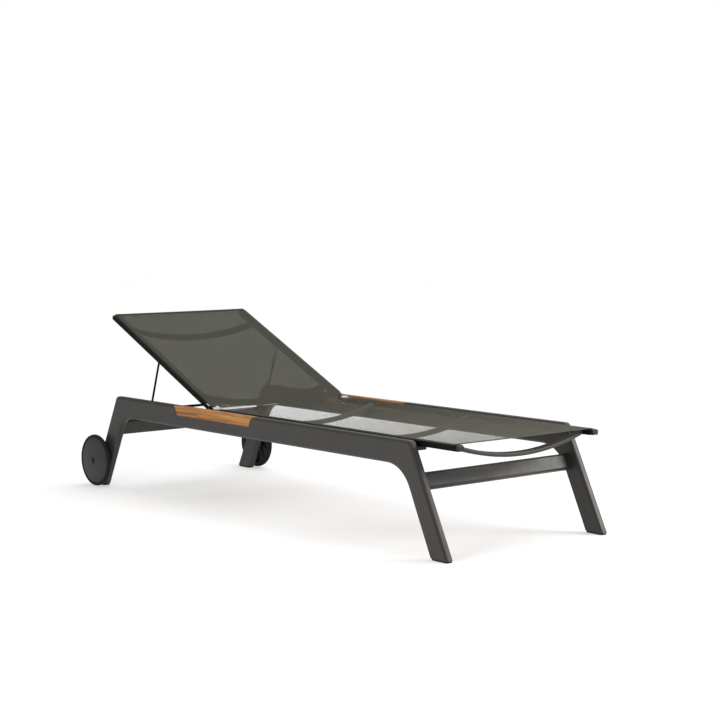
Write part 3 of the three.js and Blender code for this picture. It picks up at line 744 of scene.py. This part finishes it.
def disc_section(face, rim, inner, tyre_inner):
    """A wheel disc's section as (radius, distance from the middle plane)."""
    web = spaced(0.020, 0.056, 8)
    dome = reversed(spaced(0.012, 0.070, 22))
    flange = tyre_inner + 0.0013
    recess = face(COVER_RADIUS) - 0.0008
    return [
        # the hub's inner end, and its step to the web
        (BORE, inner), (0.0138, inner), (0.0146, inner + 0.0008),
        (0.0150, face(0.02) - 0.0050), (0.0168, face(0.02) - 0.0040),
        *[(r, face(r) - WALL) for r in web],
        # the flange under the tyre
        (0.0800, face(0.08) - 0.0044), (0.0812, face(0.08) - 0.0060),
        (0.0818, tyre_inner + 0.0022), (0.0828, flange),
        (rim - 0.0010, flange), (rim - 0.0003, tyre_inner + 0.0020),
        # the rim's rounded outer edge, and a narrow groove inside it
        (rim - 0.0003, face(rim) - 0.0022), (rim - 0.0006, face(rim) - 0.0008),
        (rim - 0.0016, face(rim) - 0.0001), (0.0855, face(0.0855)), (0.0848, face(0.0848)),
        (0.0842, face(0.0842) - 0.0005), (0.0830, face(0.0830) - 0.0005),
        (0.0824, face(0.0824)),
        *[(r, face(r)) for r in dome],
        # the recess round the axle's cover
        (COVER_RADIUS, recess), (BORE, recess),
    ]


def disc_rib(face, centre, side, k):
    """Points and faces of one rib on the disc's inner face, from the hub to the flange."""
    angle = 2 * math.pi * (k + 0.5) / RIB_COUNT
    along = Vector((math.cos(angle), 0, math.sin(angle)))
    across = Vector((-math.sin(angle), 0, math.cos(angle))) * RIB_HALF_WIDTH
    corners = ((RIB_TOP, -1), (RIB_TOP, 1), (RIB_ROOT, 1), (RIB_ROOT, -1))
    vertices = []
    for r in RIB_RADII:
        for depth, sign in corners:
            middle = Vector((centre.x, side * (face(r) - depth), centre.z))
            vertices.append(middle + along * r + across * sign)
    return vertices, tube_faces(len(RIB_RADII), len(corners))


def tyre_section(radius, inner, outer):
    """A tyre's section as (radius, distance from the middle plane), with two grooves."""
    seat = radius - TYRE_DEPTH
    tread_inner, tread_outer = inner + 0.0060, outer - 0.0055
    section = [
        (seat, inner + 0.0006), (seat + 0.0020, inner + 0.0001), (radius - 0.0050, inner),
        (radius - 0.0030, inner + 0.0010), (radius - 0.0012, inner + 0.0030),
        (radius, tread_inner),
    ]
    floor = radius - GROOVE_DEPTH
    for middle in (tread_inner + 0.0015, tread_outer - 0.0015):
        section += [(radius, middle - 0.0005), (floor, middle - 0.0003)]
        section += [(floor, middle + 0.0003), (radius, middle + 0.0005)]
    return section + [
        (radius, tread_outer), (radius - 0.0012, outer - 0.0022),
        (radius - 0.0030, outer - 0.0007), (radius - 0.0050, outer),
        (seat + 0.0020, outer - 0.0001), (seat, outer - 0.0008),
    ]


def wheel(suffix, side):
    """A moulded disc, domed outside and ribbed inside, and a tyre with two grooves."""
    body = "wheel_right" if side < 0 else "wheel_left"
    centre = Vector(JOINTS[f"{body}_spin"]["pos_m"])
    inner, outer = span_y(f"wheel_disc_{suffix}")
    tyre_inner, tyre_outer = span_y(f"wheel_tyre_{suffix}")
    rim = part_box(f"wheel_disc_{suffix}")[1].x - centre.x
    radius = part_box(f"wheel_tyre_{suffix}")[1].x - centre.x

    def face(r):
        """How far from the middle plane the disc's domed outer face lies at a radius."""
        return outer - DOME_INSET - CROWN * (r / rim) ** 2

    profile = [(r, side * y) for r, y in disc_section(face, rim, inner, tyre_inner)]
    parts = [lathed(profile, centre, WHEEL_STEPS)]
    parts += [disc_rib(face, centre, side, k) for k in range(RIB_COUNT)]
    disc = join_parts(f"wheel_disc_detailed_{suffix}", parts, WHEEL_PLASTIC)
    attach(disc, body)
    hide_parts(f"wheel_disc_{suffix}")

    profile = [(r, side * y) for r, y in tyre_section(radius, tyre_inner, tyre_outer)]
    turned_tyre = lathed(profile, centre, WHEEL_STEPS)
    tyre = from_faces(f"wheel_tyre_detailed_{suffix}", *turned_tyre, RUBBER)
    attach(tyre, body)
    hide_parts(f"wheel_tyre_{suffix}")


for side_name, side_sign in SIDES:
    wheel(side_name, side_sign)

# ---------- screws and welds ----------

SCREW_STEPS = 24
# a screw head's rings: (share of its radius, height as a share of it, whether hexagonal)
SCREW_RINGS = (
    (1.0, 0.0, False), (1.0, 0.18, False), (0.93, 0.42, False), (0.76, 0.60, False),
    (0.58, 0.68, False), (0.46, 0.69, True), (0.44, 0.20, True),
)
LEDGE_SCREW, BRACKET_SCREW, RACK_SCREW, RAIL_SCREW = 0.0042, 0.0055, 0.0045, 0.0036
LEDGE_OFFSETS, BRACKET_OFFSETS = (-0.013, 0.013), (-0.015, 0.015)
PLATE_DEPTH = 0.015  # from the bracket's outermost face to the plate with its screws
BRACKET_HEIGHT, RACK_HEIGHT = 0.018, 0.009  # of the screws over the piece's lowest edge
RACK_INSET = 0.010  # from the rack's ends to its screws
END_FACE = 0.0004  # points this near a member's end lie on its end face
BEAD_RADIUS = 0.0019
BEAD_SPREAD, BEAD_RISE = 0.8, 0.9  # the bead's section, as shares of its thickness
BEAD_RIPPLE, BEAD_TURN = 0.10, 2.1  # share of thickness that ripples, and its angle per step
BEAD_SIDES = 8
BEAD_STEP = 0.0015


def screw(name, centre, outward, radius, body, material):
    """A domed screw head with a hexagon socket."""
    turn = Vector(outward).to_track_quat("Z", "Y")
    sixth = math.pi / 3
    vertices = []
    for share, height, hexagonal in SCREW_RINGS:
        for k in range(SCREW_STEPS):
            angle = 2 * math.pi * k / SCREW_STEPS
            reach = radius * share
            if hexagonal:
                reach *= math.cos(sixth / 2) / math.cos(angle % sixth - sixth / 2)
            local = Vector((reach * math.cos(angle), reach * math.sin(angle), height * radius))
            vertices.append(Vector(centre) + turn @ local)
    made = from_faces(name, vertices, tube_faces(len(SCREW_RINGS), SCREW_STEPS), material)
    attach(made, body)


def weld_bead(name, node, side, body):
    """A rippled bead round the end of a member that is welded to the face beside it."""
    points = [v.co for v in frame["nodes"][node].data.vertices]
    reach = max(abs(p.y) for p in points)
    ends = {(round(p.x, 5), round(p.z, 5)) for p in points if p.y * side > reach - END_FACE}
    middle = (sum(p[0] for p in ends) / len(ends), sum(p[1] for p in ends) / len(ends))
    loop = sorted(ends, key=lambda p: math.atan2(p[1] - middle[1], p[0] - middle[0]))
    path = []
    for (x, z), (next_x, next_z) in zip(loop, loop[1:] + loop[:1]):
        count = max(1, round(math.dist((x, z), (next_x, next_z)) / BEAD_STEP))
        for k in range(count):
            path.append((x + (next_x - x) * k / count, z + (next_z - z) * k / count))
    vertices = []
    for k, (x, z) in enumerate(path):
        outward = Vector((x - middle[0], 0, z - middle[1])).normalized()
        thick = BEAD_RADIUS * (1.0 + BEAD_RIPPLE * math.sin(k * BEAD_TURN))
        for i in range(BEAD_SIDES):
            angle = 2 * math.pi * i / BEAD_SIDES
            point = Vector((x, side * (reach - BEAD_RADIUS), z))
            point += outward * thick * BEAD_SPREAD * math.cos(angle)
            vertices.append(point + Vector((0, side * thick * BEAD_RISE * math.sin(angle), 0)))
    faces = tube_faces(len(path), BEAD_SIDES, closed=True)
    made = from_faces(name, vertices, faces, FRAME_COAT)
    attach(made, body)


def weld_members(suffix, side):
    """Beads where the stretchers and the cross bars meet the side's frame or rails."""
    for node in ("stretcher_front", "stretcher_rear"):
        weld_bead(f"weld_{node}_{suffix}", node, side, "frame")
    for row in frame["record"]["subparts"]:
        node = row["node"]
        if "_bar_" in node:
            body = "backrest" if node.startswith("back") else "frame"
            weld_bead(f"weld_{node}_{suffix}", node, side, body)


def screw_fittings(suffix, side):
    """Screws in one side's ledges, bracket and rack, and through its hinge and back rail."""
    inward, outward = (0, -side, 0), (0, side, 0)
    for stem in ("rail_ledge_front", "rail_ledge_middle", "back_ledge"):
        node = f"{stem}_{suffix}"
        low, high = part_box(node)
        centre = (low + high) / 2
        for k, offset in enumerate(LEDGE_OFFSETS):
            place = (centre.x + offset, side * span_y(node)[0], centre.z)
            screw(f"screw_{node}_{k + 1}", place, inward, LEDGE_SCREW, "frame", BLACK_STEEL)

    node = f"hinge_bracket_{suffix}"
    low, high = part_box(node)
    plate = span_y(node)[1] - PLATE_DEPTH
    for k, offset in enumerate(BRACKET_OFFSETS):
        place = ((low.x + high.x) / 2 + offset, side * plate, low.z + BRACKET_HEIGHT)
        screw(f"screw_{node}_{k + 1}", place, inward, BRACKET_SCREW, "frame", BLACK_STEEL)

    node = f"ratchet_rack_{suffix}"
    low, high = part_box(node)
    for k, x in enumerate((low.x + RACK_INSET, high.x - RACK_INSET)):
        place = (x, side * span_y(node)[0], low.z + RACK_HEIGHT)
        screw(f"screw_{node}_{k + 1}", place, inward, RACK_SCREW, "frame", STEEL)

    # each row: the pieces' stem, their node, their body and the screws' distance from the hinge
    through = (
        ("hinge_fork", f"hinge_fork_{suffix}", "frame", 0.0335),
        ("hinge_tongue", f"hinge_tongue_{suffix}", "backrest", -0.0335),
        ("back_rail", f"back_rail_{suffix}", "backrest", -0.0880),
    )
    for stem, node, body, distance in through:
        near, far = span_y(node)
        for which, face, facing in (("out", far, outward), ("in", near, inward)):
            place = Vector((PIVOT.x + distance, side * face, PIVOT.z))
            if body == "backrest":
                place = turned(place, RECLINE)
            name = f"screw_{stem}_{which}_{suffix}"
            screw(name, place, facing, RAIL_SCREW, body, BLACK_STEEL)


for side_name, side_sign in SIDES:
    weld_members(side_name, side_sign)
    screw_fittings(side_name, side_sign)

# ---------- stage, light and camera ----------

FLOOR_REACH = 60.0
SENSOR_WIDTH = 36.0
CAMERA_CLIP = (0.1, 300)


def stage_floor():
    """A wide pale floor that also glows a little, like a light table, so its shadows are soft."""
    n = Nodes("floor_pale")
    clouds = n.noise(n.place(), scale=0.8)
    n.set(
        Base_Color=n.mix(clouds, (0.552, 0.548, 0.548), (0.568, 0.564, 0.564)),
        Roughness=0.9,
        Specular_IOR_Level=0.0,
        Emission_Color=(1.0, 0.995, 0.99),
        Emission_Strength=0.46,
    )
    square = ((-1, -1), (1, -1), (1, 1), (-1, 1))
    corners = [(x * FLOOR_REACH, y * FLOOR_REACH, 0) for x, y in square]
    mesh = bpy.data.meshes.new("stage_floor")
    mesh.from_pydata(corners, [], [(0, 1, 2, 3)])
    new_object("stage_floor", mesh, n.material)


def studio_world(seen, lighting):
    """A white backdrop for the camera, and a dimmer even light for everything else."""
    world = bpy.data.worlds.new("studio")
    bpy.context.scene.world = world
    world.use_nodes = True
    nodes, links = world.node_tree.nodes, world.node_tree.links
    soft = nodes["Background"]
    soft.inputs["Color"].default_value = (0.98, 0.99, 1.0, 1)
    soft.inputs["Strength"].default_value = lighting
    white = nodes.new("ShaderNodeBackground")
    white.inputs["Color"].default_value = (1, 1, 1, 1)
    white.inputs["Strength"].default_value = seen
    path = nodes.new("ShaderNodeLightPath")
    either = nodes.new("ShaderNodeMixShader")
    links.new(path.outputs["Is Camera Ray"], either.inputs["Fac"])
    links.new(soft.outputs[0], either.inputs[1])
    links.new(white.outputs[0], either.inputs[2])
    links.new(either.outputs[0], nodes["World Output"].inputs["Surface"])


def add_light(name, kind, power, direction):
    """A light of a kind that shines away from a direction, and its data."""
    data = bpy.data.lights.new(name, kind)
    data.energy = power
    made = bpy.data.objects.new(name, data)
    bpy.context.scene.collection.objects.link(made)
    made.rotation_mode = "QUATERNION"
    made.rotation_quaternion = direction.to_track_quat("Z", "Y")
    return made, data


def sun(name, strength, angle, heading, degrees):
    """A soft sun that stands degrees off the vertical, towards a heading in the floor's plane."""
    tilt = math.radians(degrees)
    across = Vector((*heading, 0)).normalized()
    direction = Vector((0, 0, 1)) * math.cos(tilt) + across * math.sin(tilt)
    _, data = add_light(name, "SUN", strength, direction)
    data.angle = math.radians(angle)


def softbox(name, power, place, aim, size, glossy=True):
    """A warm rectangular light at a place, aimed at a point; glossy is whether it's reflected."""
    made, data = add_light(name, "AREA", power, Vector(place) - Vector(aim))
    data.shape = "RECTANGLE"
    data.size, data.size_y = size
    data.color = (1.0, 0.96, 0.91)
    made.location = place
    made.visible_glossy = glossy


def place_camera(lens, location, pitch_down, heading):
    """The scene's camera, which looks pitch_down degrees below the horizon."""
    data = bpy.data.cameras.new("camera")
    data.sensor_width = SENSOR_WIDTH
    data.lens = lens
    data.clip_start, data.clip_end = CAMERA_CLIP
    made = bpy.data.objects.new("camera", data)
    bpy.context.scene.collection.objects.link(made)
    made.location = location
    made.rotation_euler = (math.radians(90 - pitch_down), 0, math.radians(heading))
    bpy.context.scene.camera = made


stage_floor()
studio_world(seen=1.0, lighting=0.41)
sun("overhead", strength=2.02, angle=70, heading=(-0.35, 1.0), degrees=28)
softbox("near_softbox", 49, (1.1, -2.6, 0.8), (0.7, -0.3, 0.25), (1.2, 0.7), glossy=False)
softbox("foot_softbox", 38, (2.1, 1.7, 1.0), (0.8, 0.15, 0.25), (1.0, 0.8))
place_camera(lens=84.04, location=(4.58275, -3.726, 1.029), pitch_down=4.926, heading=49.685)
bpy.context.scene.view_settings.view_transform = "Standard"
